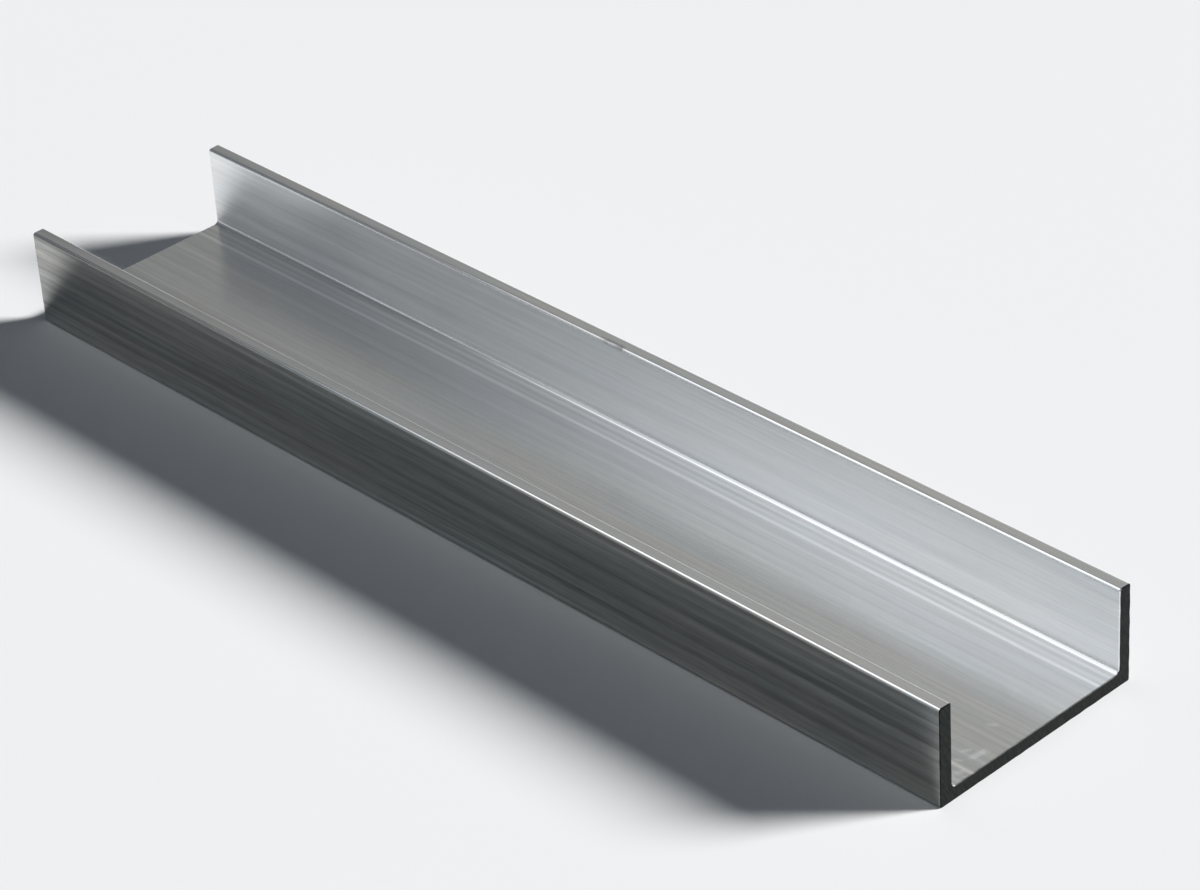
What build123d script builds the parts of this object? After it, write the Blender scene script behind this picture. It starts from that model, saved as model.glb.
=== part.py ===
"""Aluminium channel, 50 x 21 x 3 mm: one extruded bar, sawn square at both ends.

Frame, in millimetres: +X runs along the bar, +Y across it from the front leg to the
back leg, and +Z up. The bar lies on its web with the legs up, and the origin is the
middle of its underside.
"""

import os

from build123d import *

# Driving dimensions
bar_length = 250.0  # sawn end to sawn end
overall_width = 50.0  # over the outsides of the two legs
overall_height = 21.0  # underside of the web to the tips of the legs
web_thickness = 3.0
leg_thickness = 3.0
root_radius = 1.0  # inside corners, where a leg grows out of the web
heel_radius = 0.5  # outside corners, along the two lower edges
toe_radius = 0.6  # both long edges at the tip of each leg
deburr = 0.2  # the sawn edges, broken with a file

# The open trough between the legs
trough_width = overall_width - 2 * leg_thickness
trough_depth = overall_height - web_thickness


def draw_section():
    """The channel's cross-section, looking along the bar, with all its corner radii."""
    with BuildSketch(Plane.YZ) as section:
        Rectangle(overall_width, overall_height, align=(Align.CENTER, Align.MIN))
        with Locations((0, web_thickness)):
            Rectangle(trough_width, trough_depth, align=(Align.CENTER, Align.MIN), mode=Mode.SUBTRACT)
        # From the tips down, so that the corners still to come keep their places in the list
        fillet(section.vertices().group_by(Axis.Y)[-1], toe_radius)
        fillet(section.vertices().group_by(Axis.Y)[1], root_radius)
        fillet(section.vertices().group_by(Axis.Y)[0], heel_radius)
    return section


def make_channel():
    """The whole bar: the section extruded to length, then both sawn ends deburred."""
    section = draw_section()
    with BuildPart() as channel:
        extrude(section.sketch, amount=bar_length / 2, both=True)
        sawn_ends = channel.faces().filter_by(Axis.X)
        chamfer(sawn_ends.edges(), deburr)
    channel.part.label = "channel_bar"
    return channel


os.makedirs("parts", exist_ok=True)
channel_bar = make_channel()
export_step(channel_bar.part, "parts/channel_bar.step")
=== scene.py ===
"""Looks of a mill-finish aluminium channel, lying on a pale studio floor.

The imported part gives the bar's place and overall size. This script builds the bar's visible
surface, with the fine relief of extruded and sawn metal, dresses it, and lights it for the
camera that took the photograph.

Frame, in metres: +X runs along the bar to the sawn end that faces the camera, +Y across it
from the front leg to the back leg, and +Z up from the floor.
"""

import logging
import math
from dataclasses import dataclass, field
from enum import Enum

import bmesh
import bpy
import numpy as np
from mathutils import Matrix, Vector, geometry, noise


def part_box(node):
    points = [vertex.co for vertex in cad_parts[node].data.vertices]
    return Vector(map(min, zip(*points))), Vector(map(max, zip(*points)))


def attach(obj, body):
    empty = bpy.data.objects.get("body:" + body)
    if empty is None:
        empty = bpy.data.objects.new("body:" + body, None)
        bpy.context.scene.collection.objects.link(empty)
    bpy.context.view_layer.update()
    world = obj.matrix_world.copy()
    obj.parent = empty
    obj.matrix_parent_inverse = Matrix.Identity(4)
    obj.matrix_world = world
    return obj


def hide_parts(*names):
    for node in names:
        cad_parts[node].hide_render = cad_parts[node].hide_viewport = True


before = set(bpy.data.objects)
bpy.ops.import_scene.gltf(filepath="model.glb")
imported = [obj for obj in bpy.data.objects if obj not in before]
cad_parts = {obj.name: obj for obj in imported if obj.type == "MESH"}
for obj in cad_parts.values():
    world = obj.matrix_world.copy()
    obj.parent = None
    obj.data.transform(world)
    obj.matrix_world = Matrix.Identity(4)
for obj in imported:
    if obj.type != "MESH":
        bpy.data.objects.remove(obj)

log = logging.getLogger("channel_bar")

MM = 0.001
MICRON = 1e-6
BAR_NODE = "channel_bar"
PHOTO_WIDTH = 1200.0  # pixels
NOISE_MEAN = 0.5

Colour = tuple[float, float, float]
Edge = tuple[float, float]  # where a smooth change starts, and where it ends


class Run(Enum):
    """The flat runs of the section's outline, each with the corner that comes before it."""

    UNDERSIDE = 0
    BACK_OUTSIDE = 1
    BACK_TIP = 2
    BACK_INSIDE = 3
    TROUGH_FLOOR = 4
    FRONT_INSIDE = 5
    FRONT_TIP = 6
    FRONT_OUTSIDE = 7


OUTSIDE_RUNS = (Run.UNDERSIDE, Run.BACK_OUTSIDE, Run.FRONT_OUTSIDE)
TIP_RUNS = (Run.BACK_TIP, Run.FRONT_TIP)


class End(Enum):
    """The bar's two sawn ends, each with its direction along X."""

    FAR = -1
    NEAR = 1


class Finish(Enum):
    """The bar's two finishes, in the order of its material slots."""

    SKIN = 0
    SAWN = 1


@dataclass
class Outline:
    """The section's outline as points in the YZ plane, in order round the bar.

    Each point has its outward normal, the run it belongs to, its distance round the outline,
    its distance from the wall beside it, which counts on the trough's floor only, and how far
    it belongs to the outside skin, from 0 to 1.
    """

    points: np.ndarray
    normals: np.ndarray
    runs: list[Run]
    round_distance: np.ndarray
    from_wall: np.ndarray
    outside: np.ndarray


@dataclass
class Section:
    """The channel's cross-section. Sizes are in metres and match the solid's."""

    width: float
    height: float
    wall: float = 3.0 * MM
    root_radius: float = 1.0 * MM
    heel_radius: float = 0.5 * MM
    toe_radius: float = 0.6 * MM
    pitch: float = 0.30 * MM
    root_band: float = 5.4 * MM
    root_band_pitch: float = 0.10 * MM
    arc_steps: int = 9

    def corners(self) -> list[tuple[Vector, float, bool]]:
        """The outline's corners in order, each with its radius and whether it is convex.

        Returns:
            A list of (corner, radius, convex), from the front heel round by the back leg.
        """
        half = self.width / 2
        inner = half - self.wall
        heel, toe, root = self.heel_radius, self.toe_radius, self.root_radius
        return [
            (Vector((-half, 0)), heel, True),
            (Vector((half, 0)), heel, True),
            (Vector((half, self.height)), toe, True),
            (Vector((inner, self.height)), toe, True),
            (Vector((inner, self.wall)), root, False),
            (Vector((-inner, self.wall)), root, False),
            (Vector((-inner, self.height)), toe, True),
            (Vector((-half, self.height)), toe, True),
        ]

    def run_stops(self, run: Run, length: float) -> np.ndarray:
        """Where the points of one flat run lie, closer together beside the roots.

        Args:
            run: the run that is divided.
            length: its length between the tangent points.

        Returns:
            Distances from the run's start, both ends left out.
        """
        if run is not Run.TROUGH_FLOOR:
            return np.linspace(0, length, math.ceil(length / self.pitch) + 1)[1:-1]
        band_steps = round(self.root_band / self.root_band_pitch)
        near = np.linspace(0, self.root_band, band_steps + 1)
        middle = length - 2 * self.root_band
        between = self.root_band + np.linspace(0, middle, math.ceil(middle / self.pitch) + 1)
        return np.concatenate((near, between[1:-1], length - near[::-1]))[1:-1]

    def outline(self) -> Outline:
        """Rounds the corners, divides the runs and lists the outline's points.

        Returns:
            The outline, closed from its last point back to its first.
        """
        corners = self.corners()
        points, normals, runs, from_wall, outside = [], [], [], [], []
        for index, run in enumerate(Run):
            corner, radius, convex = corners[index]
            before = (corners[index - 1][0] - corner).normalized()
            following, next_radius, _ = corners[(index + 1) % len(corners)]
            after = (following - corner).normalized()
            centre = corner + radius * (before + after)
            sign = 1.0 if convex else -1.0
            skin_before = float(Run((index - 1) % len(corners)) in OUTSIDE_RUNS)
            skin_after = float(run in OUTSIDE_RUNS)
            for step in range(self.arc_steps + 1):
                share = step / self.arc_steps
                angle = share * math.pi / 2
                spoke = -after * math.cos(angle) - before * math.sin(angle)
                points.append(centre + radius * spoke)
                normals.append(spoke * sign)
                runs.append(run)
                from_wall.append(0.0)
                outside.append(skin_before + (skin_after - skin_before) * share)
            start = corner + radius * after
            length = (following - corner).length - radius - next_radius
            normal = Vector((after.y, -after.x))
            for stop in self.run_stops(run, length):
                points.append(start + after * stop)
                normals.append(normal)
                runs.append(run)
                from_wall.append(min(stop, length - stop) + self.root_radius)
                outside.append(skin_after)
        points = np.array(points)
        gaps = np.linalg.norm(np.roll(points, -1, axis=0) - points, axis=1)
        distance = np.concatenate(([0.0], np.cumsum(gaps)[:-1]))
        from_wall, outside = np.array(from_wall), np.array(outside)
        return Outline(points, np.array(normals), runs, distance, from_wall, outside)


@dataclass
class DieRelief:
    """The lengthwise relief that the die leaves: soft waves, fine drag lines, and root lines."""

    waves: tuple[tuple[float, float], ...] = ((9.0, 9.0), (3.1, 5.0), (1.1, 1.6))  # mm, micrometres
    wave_seed: float = 7.3
    fade_length: float = 70 * MM
    root_lines: tuple[tuple[float, float, float], ...] = (  # mm from the wall, micrometres, mm
        (5.15, 16.0, 0.28),
        (3.65, 5.0, 0.25),
        (1.90, 8.0, 0.30),
    )

    def at(self, outline: Outline, index: int, x: float) -> float:
        """How far one point of the outline stands out at a place along the bar.

        Args:
            outline: the section's outline.
            index: the point's place in the outline.
            x: the place along the bar, in metres.

        Returns:
            The height over the true section, in metres. Only the root lines, on the trough's
            floor, rise above 0.
        """
        s = outline.round_distance[index]
        total, reach = 0.0, 0.0
        for number, (length, height) in enumerate(self.waves):
            place = Vector((s / (length * MM), x / self.fade_length, self.wave_seed * number))
            total += noise.noise(place) * height
            reach += height
        if outline.runs[index] is Run.TROUGH_FLOOR:
            away = outline.from_wall[index]
            for distance, height, spread in self.root_lines:
                total += height * math.exp(-(((away - distance * MM) / (spread * MM)) ** 2))
        return (total - reach) * MICRON


@dataclass
class ToeNick:
    """A small dent in the inner edge of the back leg's tip, half way along the bar."""

    x: float = -1.2 * MM
    half_length: float = 2.6 * MM
    depth: float = 0.07 * MM
    spread: float = 0.55 * MM

    def at(self, point: np.ndarray, x: float, edge: Vector) -> float:
        """How deep the dent is at one point of the surface.

        Args:
            point: the outline point, in the YZ plane.
            x: the place along the bar.
            edge: the sharp corner that the toe's radius rounds off.

        Returns:
            The depth in metres, 0 away from the dent.
        """
        along = abs(x - self.x) / self.half_length
        if along >= 1:
            return 0.0
        away = math.hypot(point[0] - edge.x, point[1] - edge.y) / self.spread
        return self.depth * math.cos(along * math.pi / 2) ** 2 * math.exp(-away * away)


@dataclass
class SawCut:
    """The face that a circular saw leaves: shallow arcs about the blade's far centre."""

    blade_radius: float = 150 * MM
    blade_tilt: float = math.radians(62)
    mark_pitch: float = 0.75 * MM
    mark_depth: float = 16e-6
    mark_wander: float = 0.45
    depth_spread: float = 0.4
    depth_length: float = 4 * MM
    grid_step: float = 0.16 * MM
    grid_reach: float = 1.3 * MM
    margin: float = 0.10 * MM
    deburr: float = 0.20 * MM
    deburr_mean: float = 0.80
    deburr_spread: float = 0.35
    deburr_length: float = 2.2 * MM
    deburr_layer: float = 3.0

    def centre(self) -> Vector:
        """The blade's centre in the YZ plane."""
        away = self.blade_radius
        return Vector((-away * math.cos(self.blade_tilt), away * math.sin(self.blade_tilt)))

    def depth(self, y: float, z: float, seed: float) -> float:
        """How far the cut lies below the end plane at one point of the end face.

        Args:
            y: the point's place across the bar.
            z: its height.
            seed: shifts the marks, so that the two ends differ.

        Returns:
            The depth in metres, from 0 up.
        """
        centre = self.centre()
        radius = math.hypot(y - centre.x, z - centre.y) / self.mark_pitch
        wander = noise.noise(Vector((radius * self.mark_wander, seed, 0)))
        ripple = 0.5 + 0.5 * math.sin(2 * math.pi * (radius + wander))
        patches = noise.noise(Vector((radius, y / self.depth_length, seed)))
        return self.mark_depth * ripple * (1 - self.depth_spread + self.depth_spread * patches)

    def chamfer(self, s: float, seed: float) -> float:
        """The width of the filed edge at a distance round the outline."""
        wave = noise.noise(Vector((s / self.deburr_length, seed, self.deburr_layer)))
        return self.deburr * (self.deburr_mean + self.deburr_spread * wave)

    def inner_points(self, rim: np.ndarray) -> np.ndarray:
        """Points inside the end face, in rows that follow the saw's arcs.

        Args:
            rim: the end face's outline, in the YZ plane.

        Returns:
            The points that lie inside it by the margin.
        """
        centre = self.centre()
        offsets = rim - np.array(centre)
        radii = np.hypot(offsets[:, 0], offsets[:, 1])
        angles = np.arctan2(offsets[:, 1], offsets[:, 0])
        rows = np.arange(radii.min(), radii.max(), self.grid_step)
        steps = np.arange(angles.min(), angles.max(), self.grid_reach / self.blade_radius)
        radius, angle = np.meshgrid(rows, steps)
        found = np.stack((centre.x + radius * np.cos(angle), centre.y + radius * np.sin(angle)), axis=-1)
        found = found.reshape(-1, 2)
        return found[self.well_inside(found, rim)]

    def well_inside(self, candidates: np.ndarray, rim: np.ndarray) -> np.ndarray:
        """Which points lie inside an outline and at least the margin away from it.

        Args:
            candidates: the points to test.
            rim: the outline's points in order.

        Returns:
            True for each point that lies well inside.
        """
        ahead = np.roll(rim, -1, axis=0)
        inside = np.zeros(len(candidates), bool)
        clear = np.ones(len(candidates), bool)
        for (y0, z0), (y1, z1) in zip(rim, ahead):
            y, z = candidates[:, 0], candidates[:, 1]
            if z0 != z1:
                crosses = (z0 > z) != (z1 > z)
                inside ^= crosses & (y < (y1 - y0) * (z - z0) / (z1 - z0) + y0)
            clear &= (y - y0) ** 2 + (z - z0) ** 2 > self.margin**2
        return inside & clear


@dataclass
class ChannelBar:
    """The whole bar as one closed mesh: an extruded skin with a sawn face at each end."""

    low: Vector
    high: Vector
    relief: DieRelief = field(default_factory=DieRelief)
    nick: ToeNick = field(default_factory=ToeNick)
    saw: SawCut = field(default_factory=SawCut)
    station_gap: float = 6 * MM
    end_gaps: tuple[float, ...] = (0.4, 1.0, 2.0, 3.5)  # mm in from each end
    nick_gap: float = 0.45 * MM
    deburr_seed: float = 5.0
    saw_seed: float = 11.0
    merge_gap: float = 1e-5  # mm
    crease_angle: float = math.radians(32)
    grain_centre: tuple[float, float, float] = (0, -1000, 0)
    map_gap: float = 10 * MM
    map_pitch: float = 1.1  # widths from one end face to the other in the UV map

    def __post_init__(self) -> None:
        """Takes the section's overall sizes from the solid."""
        self.section = Section(width=self.high.y - self.low.y, height=self.high.z - self.low.z)
        self.outline = self.section.outline()
        self.half_length = (self.high.x - self.low.x) / 2

    def stations(self) -> list[float]:
        """Finds the places between the deburred edges where the section is repeated.

        Returns:
            Places along the bar in order, closer together at the ends and round the dent.
        """
        reach = self.half_length - self.end_gaps[-1] * MM
        plain = np.linspace(-reach, reach, round(2 * reach / self.station_gap) + 1)
        steps = math.ceil(self.nick.half_length / self.nick_gap)
        dent = [self.nick.x + step * self.nick_gap for step in range(-steps, steps + 1)]
        clear = [x for x in plain if abs(x - self.nick.x) > self.nick.half_length + self.nick_gap]
        ends = [self.half_length - gap * MM for gap in self.end_gaps[:-1]]
        return sorted(clear + dent + ends + [-x for x in ends])

    def ring(self, x: float) -> np.ndarray:
        """The skin's points at one station, with the die's relief and the dent.

        Args:
            x: the station's place along the bar.

        Returns:
            One (x, y, z) for each point of the outline.
        """
        outline = self.outline
        edge = self.section.corners()[Run.BACK_INSIDE.value][0]
        rows = []
        for index, (point, normal) in enumerate(zip(outline.points, outline.normals)):
            out = self.relief.at(outline, index, x) - self.nick.at(point, x, edge)
            rows.append((x, point[0] + normal[0] * out, point[1] + normal[1] * out))
        return np.array(rows)

    def end_rings(self, end: End) -> tuple[np.ndarray, np.ndarray]:
        """The two rings of a filed edge: the skin's last one and the sawn face's rim.

        Args:
            end: which end of the bar.

        Returns:
            The last ring of the skin, and the rim, which lies in the end plane.
        """
        side = end.value
        seed = self.deburr_seed * side
        last = self.ring(side * self.half_length)
        rim = last.copy()
        widths = np.array([self.saw.chamfer(s, seed) for s in self.outline.round_distance])
        last[:, 0] -= side * widths
        rim[:, 1:] -= self.outline.normals * widths[:, None]
        return last, rim

    def cap(self, rim: np.ndarray, end: End) -> tuple[np.ndarray, list[tuple[int, int, int]]]:
        """Fills one sawn face with triangles that follow the saw's marks.

        Args:
            rim: the rim's (x, y, z) points in order.
            end: which end of the bar.

        Returns:
            The inner points, and triangles that count the rim's points first.
        """
        inner = self.saw.inner_points(rim[:, 1:])
        flat = [Vector(point) / MM for point in np.vstack((rim[:, 1:], inner))]
        loop = list(range(len(rim)))
        inside_only = 1
        filled = geometry.delaunay_2d_cdt(flat, [], [loop], inside_only, self.merge_gap)
        faces, origin = filled[2], filled[3]
        points = []
        for y, z in inner:
            depth = self.saw.depth(y, z, self.saw_seed * end.value)
            points.append((end.value * (self.half_length - depth), y, z))
        triangles = [tuple(origin[corner][0] for corner in face) for face in faces]
        return np.array(points), triangles

    def build(self) -> bpy.types.Object:
        """Builds the closed mesh, with its UV map, its skin attribute and its two finishes.

        Returns:
            The new object, linked to the scene.
        """
        far_last, far_rim = self.end_rings(End.FAR)
        near_last, near_rim = self.end_rings(End.NEAR)
        rings = [far_rim, far_last, *[self.ring(x) for x in self.stations()], near_last, near_rim]
        count = len(self.outline.points)
        faces, finishes = [], []
        for level in range(len(rings) - 1):
            filed = level in (0, len(rings) - 2)
            for index, run in enumerate(self.outline.runs):
                ahead = (index + 1) % count
                low, high = level * count, (level + 1) * count
                faces.append((low + index, low + ahead, high + ahead, high + index))
                # painted shade: the filed edges round the outside and the tips take the sawn faces'
                # nearly black colour, so they show no bright line
                shaded_filed_edge = filed and run in OUTSIDE_RUNS + TIP_RUNS
                finishes.append(Finish.SAWN.value if shaded_filed_edge else Finish.SKIN.value)
        points = np.vstack(rings)
        last = (len(rings) - 1) * count
        for end, rim, first in ((End.FAR, far_rim, 0), (End.NEAR, near_rim, last)):
            inner, triangles = self.cap(rim, end)
            start = len(points)
            points = np.vstack((points, inner))
            for triangle in triangles:
                faces.append(tuple(first + c if c < count else start + c - count for c in triangle))
                finishes.append(Finish.SAWN.value)
        return self.finish_mesh(points, faces, finishes, len(rings))

    def finish_mesh(
        self, points: np.ndarray, faces: list[tuple[int, ...]], finishes: list[int], ring_count: int
    ) -> bpy.types.Object:
        """Makes the Blender mesh and gives it normals, creases, attributes and a UV map.

        Args:
            points: the vertices.
            faces: the polygons' corners.
            finishes: the material slot of each polygon.
            ring_count: how many rings of the outline come first among the points.

        Returns:
            The new object.
        """
        mesh = bpy.data.meshes.new("extruded_channel")
        mesh.from_pydata(points.tolist(), [], faces)
        mesh.polygons.foreach_set("material_index", finishes)
        mesh.polygons.foreach_set("use_smooth", [True] * len(faces))
        skin = np.zeros(len(points))
        skin[: ring_count * len(self.outline.outside)] = np.tile(self.outline.outside, ring_count)
        mesh.attributes.new("outside_skin", "FLOAT", "POINT").data.foreach_set("value", skin)
        self.unwrap(mesh, ring_count)
        mesh.update()
        make_outward(mesh)
        mesh.set_sharp_from_angle(angle=self.crease_angle)
        # The metal's grain circles the middle of these coordinates, so from one far off in Y it
        # runs along X all over the bar
        mesh.use_auto_texspace = False
        mesh.texspace_location = self.grain_centre
        mesh.texspace_size = (1, 1, 1)
        return add_object("extruded_channel", mesh)

    def unwrap(self, mesh: bpy.types.Mesh, ring_count: int) -> None:
        """Lays the skin's UV map along the bar and round it, and the end faces' beside it.

        Args:
            mesh: the bar's mesh.
            ring_count: how many rings of the outline come first among its vertices.
        """
        count = len(self.outline.points)
        girth = self.outline.round_distance[-1]
        scale = 1 / (2 * self.half_length + 4 * self.section.height)
        layer = mesh.uv_layers.new(name="along_the_bar")
        for polygon in mesh.polygons:
            sawn = polygon.material_index == Finish.SAWN.value
            for loop in polygon.loop_indices:
                vertex = mesh.loops[loop].vertex_index
                x, y, z = mesh.vertices[vertex].co
                if sawn:
                    shift = (x > 0) * self.section.width * self.map_pitch
                    across = y + self.section.width / 2 + shift
                    place = (2 * self.half_length + z + self.map_gap, across)
                else:
                    around = self.outline.round_distance[vertex % count]
                    wraps = vertex % count == 0 and polygon.vertices[1] % count == 0
                    place = (x + self.half_length, girth if wraps else around)
                layer.data[loop].uv = (place[0] * scale, place[1] * scale)


def make_outward(mesh: bpy.types.Mesh) -> None:
    """Turns the mesh inside out where its faces look inward.

    Args:
        mesh: a closed mesh whose faces all look the same way, or nearly.
    """
    work = bmesh.new()
    work.from_mesh(mesh)
    bmesh.ops.recalc_face_normals(work, faces=work.faces)
    work.to_mesh(mesh)
    work.free()


def add_object(name: str, data: bpy.types.ID) -> bpy.types.Object:
    """Makes an object and links it to the scene.

    Args:
        name: the object's name.
        data: its mesh, lamp or camera.

    Returns:
        The new object.
    """
    made = bpy.data.objects.new(name, data)
    bpy.context.scene.collection.objects.link(made)
    return made


class Value:
    """A number that varies over a surface: one output socket, with the usual arithmetic."""

    def __init__(self, make: "NodeMaker", socket: bpy.types.NodeSocket) -> None:
        """Keeps the socket and the maker that adds further nodes."""
        self.make = make
        self.socket = socket

    def math(self, operation: str, *others: "Value | float", flip: bool = False) -> "Value":
        """Adds a Math node.

        Args:
            operation: the node's operation.
            others: its further inputs.
            flip: whether this value comes second instead of first.

        Returns:
            The node's output.
        """
        inputs = [self, *others]
        if flip:
            inputs.reverse()
        made = self.make.node("ShaderNodeMath", {"operation": operation}, *inputs)
        return Value(self.make, made.outputs[0])

    def __add__(self, other: "Value | float") -> "Value":
        """self + other"""
        return self.math("ADD", other)

    def __radd__(self, other: float) -> "Value":
        """other + self"""
        return self.math("ADD", other, flip=True)

    def __sub__(self, other: "Value | float") -> "Value":
        """self - other"""
        return self.math("SUBTRACT", other)

    def __rsub__(self, other: float) -> "Value":
        """other - self"""
        return self.math("SUBTRACT", other, flip=True)

    def __mul__(self, other: "Value | float") -> "Value":
        """self * other"""
        return self.math("MULTIPLY", other)

    def __rmul__(self, other: float) -> "Value":
        """other * self"""
        return self.math("MULTIPLY", other, flip=True)

    def size(self) -> "Value":
        """The value without its sign."""
        return self.math("ABSOLUTE")

    def ramp(self, low: float, high: float) -> "Value":
        """0 below low and 1 above high, with a smooth rise between them.

        Args:
            low: where the rise starts.
            high: where it ends.

        Returns:
            The eased value.
        """
        settings = {"interpolation_type": "SMOOTHSTEP"}
        made = self.make.node("ShaderNodeMapRange", settings, Value=self, From_Min=low, From_Max=high)
        return Value(self.make, made.outputs["Result"])

    def between(self, rise: Edge, fall: Edge) -> "Value":
        """1 between a smooth rise and a smooth fall, and 0 beyond them."""
        return self.ramp(*rise) * (1 - self.ramp(*fall))


Feed = Value | bpy.types.NodeSocket | float | tuple[float, ...]


class NodeMaker:
    """Adds nodes to one node tree."""

    def __init__(self, tree: bpy.types.NodeTree) -> None:
        """Starts from an empty tree."""
        self.tree = tree
        self.tree.nodes.clear()

    def node(
        self, kind: str, settings: dict[str, str] | None = None, *ordered: Feed, **named: Feed
    ) -> bpy.types.Node:
        """Adds one node, sets it up, and then fills its sockets.

        Args:
            kind: the node's type.
            settings: its properties, set before its sockets are filled.
            ordered: values or links for its inputs, in their order.
            named: values or links by the input's name, with _ for a space.

        Returns:
            The new node.
        """
        made = self.tree.nodes.new(kind)
        for name, value in (settings or {}).items():
            setattr(made, name, value)
        for position, value in enumerate(ordered):
            self.fill(made.inputs[position], value)
        for name, value in named.items():
            wanted = name.replace("_", " ")
            self.fill(next(s for s in made.inputs if s.name == wanted and s.enabled), value)
        return made

    def fill(self, socket: bpy.types.NodeSocket, value: Feed) -> None:
        """Links a socket to a value's socket, or sets its default.

        Args:
            socket: the input to fill.
            value: a Value, an output socket, a number or a colour.
        """
        if isinstance(value, Value):
            value = value.socket
        if isinstance(value, bpy.types.NodeSocket):
            self.tree.links.new(value, socket)
        elif isinstance(value, tuple) and socket.type == "RGBA":
            socket.default_value = (*value[:3], 1.0)
        else:
            socket.default_value = value

    def place(self) -> tuple[Value, Value, Value]:
        """Reads where a surface point lies.

        Returns:
            Its X, Y and Z, in metres.
        """
        where = self.node("ShaderNodeTexCoord")
        split = self.node("ShaderNodeSeparateXYZ", None, where.outputs["Object"])
        return tuple(Value(self, split.outputs[axis]) for axis in range(3))

    def blend(
        self, share: Value | float, first: Feed, second: Feed, mode: str = "MIX"
    ) -> bpy.types.NodeSocket:
        """Adds a Mix node for colours.

        Args:
            share: how much of the second colour there is.
            first: the first colour.
            second: the second colour.
            mode: how the two are put together.

        Returns:
            The mixed colour's socket.
        """
        settings = {"data_type": "RGBA", "blend_type": mode}
        made = self.node("ShaderNodeMix", settings, Factor=share, A=first, B=second)
        return next(out for out in made.outputs if out.enabled)


def new_material(name: str) -> tuple[bpy.types.Material, NodeMaker]:
    """Makes a material with no nodes yet.

    Args:
        name: the material's name.

    Returns:
        The material, and the maker of its nodes.
    """
    material = bpy.data.materials.new(name)
    material.use_nodes = True
    return material, NodeMaker(material.node_tree)


@dataclass(frozen=True)
class LengthwiseLine:
    """A line along the whole bar that lightens or darkens the colour by its strength: the die's lines on
    the web, and bands at listed heights on the outside faces, one of them painted shade. Its sizes are
    in millimetres.
    """

    place: float
    width: float
    strength: float

    def mask(self, across: Value) -> Value:
        """How strongly the line shows at a place across the face.

        Args:
            across: the coordinate across the face.

        Returns:
            The strength at the line's middle, falling to 0 a width away.
        """
        away = (across - self.place * MM).size()
        return (1 - away.ramp(0.0, self.width * MM)) * self.strength


@dataclass(frozen=True)
class Scuff:
    """A short rub on the trough's floor, in millimetres, and degrees from +X."""

    x: float
    y: float
    turn: float
    length: float
    width: float
    strength: float
    core: float = 0.1  # lengths each way at full strength

    def mask(self, x: Value, y: Value) -> Value:
        """How much the scuff covers a place.

        Args:
            x: the place along the bar.
            y: the place across it.

        Returns:
            The strength in the scuff's middle, and 0 outside it.
        """
        turn, length = math.radians(self.turn), self.length * MM
        run, rise = math.cos(turn), math.sin(turn)
        x, y = x - self.x * MM, y - self.y * MM
        along = (x * run + y * rise).size()
        away = (y * run - x * rise).size()
        shown = 1 - along.ramp(length * self.core, length / 2)
        return shown * (1 - away.ramp(0.0, self.width * MM)) * self.strength


@dataclass(frozen=True)
class Pattern:
    """A noise over the metal, drawn out along X where its pace is below 1."""

    scale: float  # blobs in a metre, across the bar
    detail: float  # finer layers
    pace: float = 1.0  # how fast it changes along X, where across is 1
    seed: float = 0.0

    def at(self, make: NodeMaker, x: Value, y: Value, z: Value) -> Value:
        """Adds the noise's nodes.

        Args:
            make: adds them.
            x: the first coordinate that it is read at.
            y: the second.
            z: the third.

        Returns:
            The noise, which is about NOISE_MEAN on the whole.
        """
        where = make.node("ShaderNodeCombineXYZ", None, x * self.pace + self.seed, y, z)
        sizes = {"Scale": self.scale, "Detail": self.detail}
        made = make.node("ShaderNodeTexNoise", None, Vector=where.outputs[0], **sizes)
        return Value(make, made.outputs[0])


@dataclass(frozen=True)
class SkinMasks:
    """The parts of the skin: 1 on the part and 0 off it, but each rub has its own strength."""

    outside: Value
    web: Value
    leg: Value
    tip: Value
    root: Value
    dent: Value
    rubs: Value


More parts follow.
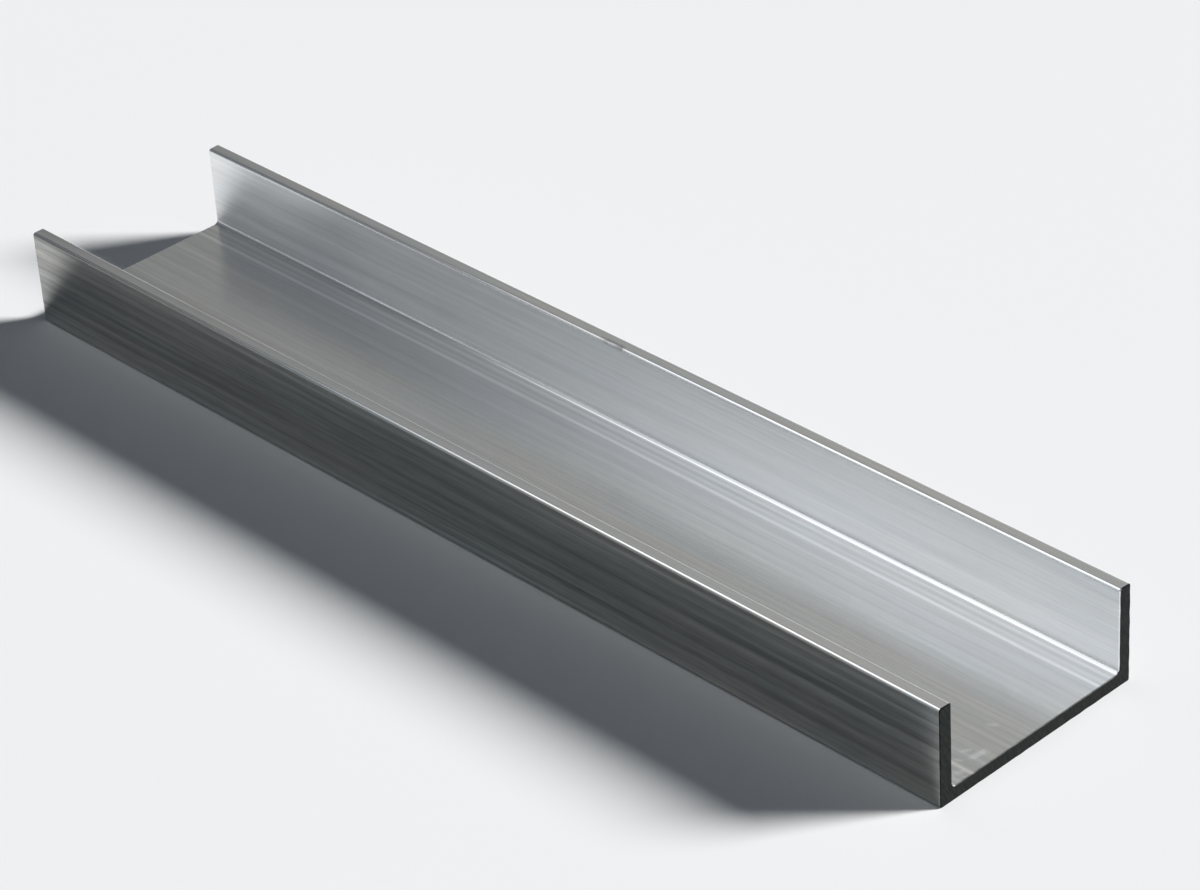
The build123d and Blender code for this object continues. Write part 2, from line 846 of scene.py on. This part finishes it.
@dataclass(frozen=True)
class MillFinishWithPaintedLight:
    """The skin of a bar as it leaves the die: brushed-looking and a little rougher outside, with painted
    shade that darkens the outside faces, the web, the tips and the dent, and painted light that
    brightens the legs and the roots.
    """

    cool: Colour = (0.800, 0.818, 0.827)
    warm: Colour = (0.827, 0.818, 0.808)
    # painted shade: the outside faces' colours are about half the inside's, standing in for the shade
    # they lie in
    shaded_outside_cool: Colour = (0.405, 0.432, 0.424)
    shaded_outside_warm: Colour = (0.438, 0.430, 0.412)
    tint_edge: Edge = (0.38, 0.62)
    leg_coolness: float = 0.6
    inside_contrast: float = 0.64
    outside_contrast: float = 1.85
    leg_evenness: float = 0.22
    # painted shade: the web's colour is darkened by this share
    web_painted_shade: float = 0.325
    # painted shade: the legs' tips are darkened by this share
    tip_painted_shade: float = 0.34
    # painted shade: the dent's colour is darkened by this share, where the back leg's highlight breaks
    dent_painted_shade: float = 0.35
    # painted light: the legs' inside is brightened by this share
    leg_painted_light: float = 0.14
    # painted highlight: the roots are brightened by this share
    root_painted_highlight: float = 0.12
    roughness: float = 0.19
    leg_roughness: float = 0.32
    outside_roughness: float = 0.21
    root_polish: float = 0.05
    streak_roughness: float = 0.12
    patch_roughness: float = 0.05
    rub_roughness: float = 0.5
    dent_roughness: float = 0.16
    anisotropy: float = 0.8
    anisotropic_turn: float = 0.25  # turns, so that a highlight fans out across the bar
    bump_height: float = 7e-6
    bump_streak: float = 0.8
    bump_grain: float = 0.4
    grain_share: float = 0.3
    broad_share: float = 0.62
    broad: Pattern = Pattern(700, 3.0, pace=0.004)
    middle: Pattern = Pattern(1700, 3.0, pace=0.018, seed=3.1)
    fine: Pattern = Pattern(5200, 2.0, pace=0.03, seed=7.7)
    patches: Pattern = Pattern(90, 2.0, pace=0.25, seed=1.9)
    bands: Pattern = Pattern(330, 2.0, pace=0.05, seed=5.3)
    inner_wall: float = 22 * MM
    skin_edge: Edge = (0.35, 0.75)
    web_edge: Edge = (3.1 * MM, 3.5 * MM)
    leg_foot: Edge = (3.3 * MM, 3.9 * MM)
    leg_top: Edge = (20.3 * MM, 20.8 * MM)
    tip_edge: Edge = (20.88 * MM, 20.97 * MM)
    root_side: Edge = (20.8 * MM, 21.3 * MM)
    dent_x: tuple[Edge, Edge] = ((-6.2 * MM, -3.4 * MM), (0.5 * MM, 1.0 * MM))
    dent_y: tuple[Edge, Edge] = ((20.5 * MM, 21.8 * MM), (22.7 * MM, 23.3 * MM))
    dent_z: Edge = (20.1 * MM, 20.5 * MM)
    root_lines: tuple[LengthwiseLine, ...] = (
        LengthwiseLine(5.20, 0.75, 0.26),
        LengthwiseLine(3.70, 0.60, 0.07),
        LengthwiseLine(1.95, 0.70, 0.12),
    )
    side_lines: tuple[LengthwiseLine, ...] = (
        LengthwiseLine(3.3, 1.3, 0.20),
        LengthwiseLine(11.7, 0.6, 0.15),
        LengthwiseLine(13.2, 0.9, -0.22),
        LengthwiseLine(15.4, 1.7, -0.16),
        LengthwiseLine(17.1, 0.6, 0.14),
        LengthwiseLine(18.9, 0.7, 0.08),
        # painted shade: a dark band just under the tip's edge
        LengthwiseLine(20.5, 1.5, -0.42),
    )
    scuffs: tuple[Scuff, ...] = (
        Scuff(122.1, -12.0, 80, 5.4, 1.15, 0.34),
        Scuff(119.8, -12.6, 60, 3.4, 0.80, 0.22),
        Scuff(120.6, -15.6, 25, 2.8, 0.75, 0.20),
        Scuff(115.0, 5.7, -66, 4.4, 0.45, 0.12),
        Scuff(118.3, -4.0, 35, 3.2, 0.80, 0.14),
        Scuff(123.0, -18.2, 70, 3.6, 0.90, 0.22),
    )

    def masks(self, make: NodeMaker, x: Value, y: Value, z: Value) -> SkinMasks:
        """Finds the parts of the skin.

        Args:
            make: adds the nodes.
            x: the place along the bar.
            y: the place across it.
            z: the height.

        Returns:
            The outside, the web, legs and roots of the inside, the roots polished and brightened by a
            painted highlight, the legs' tips, the dent that painted shade darkens where the back leg's
            highlight breaks, and the rubs on the web.
        """
        skin = make.node("ShaderNodeAttribute", {"attribute_name": "outside_skin"})
        outside = Value(make, skin.outputs["Fac"]).ramp(*self.skin_edge)
        inside = 1 - outside
        web = inside * (1 - z.ramp(*self.web_edge))
        leg = inside * z.between(self.leg_foot, self.leg_top)
        # the roots: polished, and brightened by a painted highlight
        root = inside * y.size().ramp(*self.root_side) * (1 - z.ramp(*self.leg_foot))
        # painted shade over the dent, which breaks the back leg's highlight
        dent = x.between(*self.dent_x) * y.between(*self.dent_y) * z.ramp(*self.dent_z)
        rubs = sum(scuff.mask(x, y) for scuff in self.scuffs) * web
        return SkinMasks(outside, web, leg, z.ramp(*self.tip_edge), root, dent, rubs)

    def colour(self, make: NodeMaker, on: SkinMasks, tint: Value) -> bpy.types.NodeSocket:
        """Mixes the metal's colour, with painted shade that makes the outside faces about half as bright
        as the inside.

        Args:
            make: adds the nodes.
            on: the parts of the skin.
            tint: how warm the metal is, from 0 to 1.

        Returns:
            The colour, before lines and marks shade it.
        """
        inner = make.blend(tint * (1 - on.leg * self.leg_coolness), self.cool, self.warm)
        # painted shade: the outside faces take the darker colours
        shaded_outer = make.blend(tint, self.shaded_outside_cool, self.shaded_outside_warm)
        return make.blend(on.outside, inner, shaded_outer)

    def shade(self, on: SkinMasks, y: Value, z: Value, streak: Value, grain: Value) -> Value:
        """Works out how much lighter or darker than its own colour the metal is: streaks, lines and
        rubs, with painted shade on the web, the tips, the dent and a band on the outside faces, and
        painted light on the legs and the roots.

        Args:
            on: the parts of the skin.
            y: the place across the bar.
            z: the height.
            streak: the broad streaks, about 0.
            grain: the fine grain, about 0.

        Returns:
            The factor on the colour.
        """
        from_wall = self.inner_wall - y.size()
        lines = sum(line.mask(from_wall) for line in self.root_lines)
        # bands on the outside faces; the one just under the tip is painted shade
        sides = sum(line.mask(z) for line in self.side_lines)
        contrast = self.inside_contrast + on.outside * (self.outside_contrast - self.inside_contrast)
        contrast = contrast * (1 - on.leg * self.leg_evenness)
        shade = 1 + (streak + grain * self.grain_share) * contrast
        # painted shade on the web
        shade = shade * (1 + on.web * (lines - self.web_painted_shade)) * (1 + on.outside * sides)
        # painted shade on the tips
        shade = shade * (1 - on.tip * self.tip_painted_shade) * (1 + on.rubs)
        # painted shade on the dent
        shade = shade * (1 - on.dent * self.dent_painted_shade)
        # painted light on the legs, and a painted highlight on the roots
        return shade * (1 + on.leg * self.leg_painted_light) * (1 + on.root * self.root_painted_highlight)

    def dullness(self, on: SkinMasks, streak: Value, patch: Value) -> Value:
        """Works out the metal's roughness.

        Args:
            on: the parts of the skin.
            streak: the broad streaks, about 0.
            patch: the large soft patches, about NOISE_MEAN.

        Returns:
            The roughness.
        """
        base = self.roughness + on.outside * (self.outside_roughness - self.roughness)
        base = base + on.leg * (self.leg_roughness - self.roughness) - on.root * self.root_polish
        uneven = streak * self.streak_roughness + (patch - NOISE_MEAN) * self.patch_roughness
        return base + uneven + on.rubs * self.rub_roughness + on.dent * self.dent_roughness

    def material(self) -> bpy.types.Material:
        """Builds the node tree.

        Returns:
            The material.
        """
        material, make = new_material("mill_skin")
        place = make.place()
        broad, middle = self.broad.at(make, *place), self.middle.at(make, *place)
        streak = (broad - NOISE_MEAN) * self.broad_share + (middle - NOISE_MEAN) * (1 - self.broad_share)
        grain = self.fine.at(make, *place) - NOISE_MEAN
        patch = self.patches.at(make, *place)
        tint = (self.bands.at(make, *place) * 0.5 + patch * 0.5).ramp(*self.tint_edge)
        on = self.masks(make, *place)
        shade = self.shade(on, place[1], place[2], streak, grain)
        height = streak * self.bump_streak + grain * self.bump_grain
        bump = make.node("ShaderNodeBump", None, Strength=1.0, Distance=self.bump_height, Height=height)
        surface = make.node(
            "ShaderNodeBsdfPrincipled",
            None,
            Base_Color=make.blend(1.0, self.colour(make, on, tint), shade, "MULTIPLY"),
            Metallic=1.0,
            Roughness=self.dullness(on, streak, patch),
            Anisotropic=self.anisotropy,
            Anisotropic_Rotation=self.anisotropic_turn,
            Normal=bump.outputs[0],
        )
        make.node("ShaderNodeOutputMaterial", None, surface.outputs[0])
        return material


@dataclass(frozen=True)
class SawnFinishAndPaintedShade:
    """A sawn end: rough, with smeared arcs where the blade's teeth dragged, and painted shade that makes
    its colour nearly black.
    """

    # painted shade: colours this dark stand in for the shade that the ends lie in
    dark: Colour = (0.010, 0.012, 0.011)
    light: Colour = (0.027, 0.031, 0.029)
    light_edge: Edge = (0.35, 0.70)
    roughness: float = 0.46
    grit_roughness: float = 0.16
    smear: Pattern = Pattern(3200, 3.0)
    grit: Pattern = Pattern(9000, 2.0, seed=4.2)
    smear_slant: tuple[float, float, float] = (0.9, 0.4, 0.15)  # of Y and Z, then of Z
    bump_height: float = 6e-6
    bump_smear: float = 0.7
    bump_grit: float = 0.3

    def material(self) -> bpy.types.Material:
        """Builds the node tree.

        Returns:
            The material.
        """
        material, make = new_material("sawn_face")
        x, y, z = make.place()
        level, lean, rise = self.smear_slant
        smear = self.smear.at(make, x, y * level + z * lean, z * rise)
        grit = self.grit.at(make, x, y, z)
        height = smear * self.bump_smear + grit * self.bump_grit
        bump = make.node("ShaderNodeBump", None, Strength=1.0, Distance=self.bump_height, Height=height)
        surface = make.node(
            "ShaderNodeBsdfPrincipled",
            None,
            Base_Color=make.blend(smear.ramp(*self.light_edge), self.dark, self.light),
            Metallic=1.0,
            Roughness=self.roughness + (grit - NOISE_MEAN) * self.grit_roughness,
            Normal=bump.outputs[0],
        )
        make.node("ShaderNodeOutputMaterial", None, surface.outputs[0])
        return material


@dataclass(frozen=True)
class FloorFinish:
    """Plain pale studio floor."""

    colour: Colour = (0.86, 0.86, 0.86)
    roughness: float = 0.9

    def material(self) -> bpy.types.Material:
        """Builds the node tree.

        Returns:
            The material.
        """
        material, make = new_material("pale_floor")
        plain = {"Base_Color": self.colour, "Roughness": self.roughness}
        surface = make.node("ShaderNodeBsdfPrincipled", None, **plain)
        make.node("ShaderNodeOutputMaterial", None, surface.outputs[0])
        return material


@dataclass(frozen=True)
class PhotoCamera:
    """The camera that took the photograph, as fitted to the bar's straight edges."""

    place: tuple[float, float, float] = (498.2 * MM, -434.3 * MM, 428.9 * MM)
    azimuth: float = math.radians(47.93)
    down: float = math.radians(32.47)
    roll: float = math.radians(-3.857)
    focal_pixels: float = 4079.6
    sensor_width: float = 36.0  # mm
    clip_start: float = 10 * MM

    def build(self) -> bpy.types.Object:
        """Makes the camera and hands it to the scene.

        Returns:
            The camera object.
        """
        lens = bpy.data.cameras.new("photo_camera")
        lens.sensor_width = self.sensor_width
        lens.lens = self.focal_pixels * self.sensor_width / PHOTO_WIDTH
        lens.clip_start = self.clip_start
        camera = add_object("photo_camera", lens)
        turn = Matrix.Rotation(self.azimuth, 4, "Z") @ Matrix.Rotation(math.pi / 2 - self.down, 4, "X")
        camera.matrix_world = Matrix.Translation(self.place) @ turn @ Matrix.Rotation(self.roll, 4, "Z")
        bpy.context.scene.camera = camera
        return camera


@dataclass(frozen=True)
class Rise:
    """A smooth change of a panel's level along X, down where the gain is negative."""

    start: float
    end: float
    gain: float


@dataclass(frozen=True)
class SoftPanel:
    """A glowing sheet with soft edges, curved round the bar, which shows in the bar's metal.

    Angles are round the bar's axis, in degrees: 0 is toward the back, 90 straight up. The
    glow fades out over the soft angle at each end of its span, and over near_fade in X.
    """

    name: str
    span: Edge
    soft_angle: float
    far_x: float
    rises: tuple[Rise, ...]
    near_x: float = 0.8
    far_level: float = 0.0
    colour: Colour = (1.0, 1.0, 1.0)
    radius: float = 0.70
    near_fade: float = 0.35
    steps: int = 24

    def build(self) -> bpy.types.Object:
        """Makes the sheet, with its angle kept as an attribute, and its glow.

        Returns:
            The sheet, which the camera doesn't see and which throws no shadow.
        """
        angles = np.linspace(*self.span, self.steps + 1)
        points = []
        for angle in np.radians(angles):
            for x in (self.far_x, self.near_x):
                points.append((x, self.radius * math.cos(angle), self.radius * math.sin(angle)))
        faces = [(2 * row, 2 * row + 1, 2 * row + 3, 2 * row + 2) for row in range(self.steps)]
        mesh = bpy.data.meshes.new(self.name)
        mesh.from_pydata(points, [], faces)
        mesh.attributes.new("angle", "FLOAT", "POINT").data.foreach_set("value", np.repeat(angles, 2))
        mesh.materials.append(self.material())
        sheet = add_object(self.name, mesh)
        sheet.visible_camera = False
        sheet.visible_diffuse = False
        sheet.visible_shadow = False
        return sheet

    def material(self) -> bpy.types.Material:
        """Builds the glow, which fades out at the edges and changes along X from the far level.

        Returns:
            The material. It lets what is behind it show through.
        """
        material, make = new_material(self.name)
        x, _, _ = make.place()
        angle = Value(make, make.node("ShaderNodeAttribute", {"attribute_name": "angle"}).outputs["Fac"])
        low, high = self.span
        low_edge, high_edge = (low, low + self.soft_angle), (high - self.soft_angle, high)
        near = 1 - x.ramp(self.near_x - self.near_fade, self.near_x)
        level = sum((x.ramp(rise.start, rise.end) * rise.gain for rise in self.rises), self.far_level)
        glow = angle.between(low_edge, high_edge) * near * level
        light = make.node("ShaderNodeEmission", None, Color=self.colour, Strength=glow)
        clear = make.node("ShaderNodeBsdfTransparent")
        both = make.node("ShaderNodeAddShader", None, light.outputs[0], clear.outputs[0])
        make.node("ShaderNodeOutputMaterial", None, both.outputs[0])
        return material


@dataclass
class Studio:
    """The pale floor, the soft panels over the bar, and the low lamp that lights the floor."""

    floor_size: float = 12.0
    lamp_turn: float = math.radians(130)  # from the bar's far end, round by the back
    lamp_height: float = math.radians(27)
    lamp_angle: float = math.radians(16)
    lamp_strength: float = 6.3
    room: Colour = (0.088, 0.100, 0.114)
    horizon: Colour = (0.80, 0.80, 0.80)
    horizon_height: float = 0.10
    panels: tuple[SoftPanel, ...] = (
        SoftPanel(
            "overhead_softbox",
            span=(75, 161),
            soft_angle=19,
            far_x=-1.1,
            far_level=0.10,
            rises=(Rise(-0.70, -0.62, 0.25), Rise(-0.68, -0.37, 1.03), Rise(-0.47, -0.41, -0.19)),
            colour=(0.975, 1.0, 1.03),
        ),
        SoftPanel(
            "overhead_strip",
            span=(74, 116),
            soft_angle=14,
            far_x=-1.1,
            near_x=-0.15,
            rises=(Rise(-0.66, -0.56, 0.95),),
            colour=(0.99, 1.0, 1.01),
            near_fade=0.24,
        ),
        SoftPanel(
            "back_wall_glow",
            span=(-12, 80),
            soft_angle=20,
            far_x=-2.4,
            far_level=0.25,
            rises=(Rise(-1.0, -0.25, 0.24),),
            colour=(1.035, 1.02, 0.955),
        ),
        SoftPanel(
            "low_back_glow",
            span=(-14, 30),
            soft_angle=12,
            far_x=-2.4,
            rises=(Rise(-1.0, -0.25, 0.72),),
        ),
        SoftPanel(
            "front_wall_glow",
            span=(146, 194),
            soft_angle=14,
            far_x=-2.0,
            far_level=0.1,
            rises=(Rise(-1.0, -0.25, 0.3),),
            colour=(0.97, 1.0, 1.03),
        ),
        SoftPanel(
            "far_end_glow",
            span=(50, 130),
            soft_angle=26,
            far_x=-4.2,
            near_x=-1.1,
            rises=(Rise(-4.2, -3.0, 0.72),),
            colour=(0.985, 1.0, 1.015),
        ),
        SoftPanel(
            "near_end_glow",
            span=(50, 130),
            soft_angle=26,
            far_x=0.7,
            near_x=4.2,
            rises=(Rise(0.8, 1.3, 0.72),),
            colour=(0.985, 1.0, 1.015),
            near_fade=1.2,
        ),
    )

    def floor(self) -> bpy.types.Object:
        """Makes the floor that the bar lies on.

        Returns:
            The floor.
        """
        half = self.floor_size / 2
        mesh = bpy.data.meshes.new("studio_floor")
        corners = [(-half, -half, 0), (half, -half, 0), (half, half, 0), (-half, half, 0)]
        mesh.from_pydata(corners, [], [(0, 1, 2, 3)])
        mesh.materials.append(FloorFinish().material())
        return add_object("studio_floor", mesh)

    def lamp(self) -> bpy.types.Object:
        """Makes the low lamp behind the bar's near end, which leaves the bar's shadow in front.

        Returns:
            The lamp.
        """
        data = bpy.data.lights.new("floor_lamp", "SUN")
        data.energy = self.lamp_strength
        data.angle = self.lamp_angle
        lamp = add_object("floor_lamp", data)
        level, height = math.cos(self.lamp_height), math.sin(self.lamp_height)
        across = level * math.sin(self.lamp_turn)
        source = Vector((-level * math.cos(self.lamp_turn), across, height))
        lamp.rotation_euler = source.to_track_quat("Z", "Y").to_euler()
        return lamp

    def world(self) -> None:
        """Gives the room a plain dim tone, with a pale band along the horizon."""
        world = bpy.data.worlds.new("room")
        world.use_nodes = True
        make = NodeMaker(world.node_tree)
        where = make.node("ShaderNodeTexCoord")
        split = make.node("ShaderNodeSeparateXYZ", None, where.outputs["Generated"])
        height = Value(make, split.outputs[2])
        tone = make.blend(height.ramp(0.0, self.horizon_height), self.horizon, self.room)
        light = make.node("ShaderNodeBackground", None, Color=tone, Strength=1.0)
        make.node("ShaderNodeOutputWorld", None, light.outputs[0])
        bpy.context.scene.world = world

    def link_light(self, light: bpy.types.Object, target: bpy.types.Object) -> None:
        """Lets a light fall on one object only.

        Args:
            light: the lamp or glowing sheet.
            target: what it lights.
        """
        group = bpy.data.collections.new(light.name + "_lights")
        group.objects.link(target)
        light.light_linking.receiver_collection = group

    def build(self, bar: bpy.types.Object) -> None:
        """Sets the whole studio up around the bar.

        Args:
            bar: the object that the panels light.
        """
        floor = self.floor()
        lamp = self.lamp()
        self.link_light(lamp, floor)
        for panel in self.panels:
            sheet = panel.build()
            self.link_light(sheet, bar)
        self.world()
        log.info("studio: floor, lamp and %d panels", len(self.panels))


def main() -> None:
    """Builds the camera, the bar and the studio, and keeps the two boxes' sizes."""
    logging.basicConfig(level=logging.INFO, format="%(name)s: %(message)s")
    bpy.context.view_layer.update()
    PhotoCamera().build()
    low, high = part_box(BAR_NODE)
    bar = ChannelBar(low, high).build()
    bar.data.materials.append(MillFinishWithPaintedLight().material())
    bar.data.materials.append(SawnFinishAndPaintedShade().material())
    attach(bar, "root")
    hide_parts(BAR_NODE)
    log.info("%s: %d faces", bar.name, len(bar.data.polygons))
    Studio().build(bar)
    bpy.context.scene.view_settings.view_transform = "Standard"


if __name__ == "__main__":
    main()
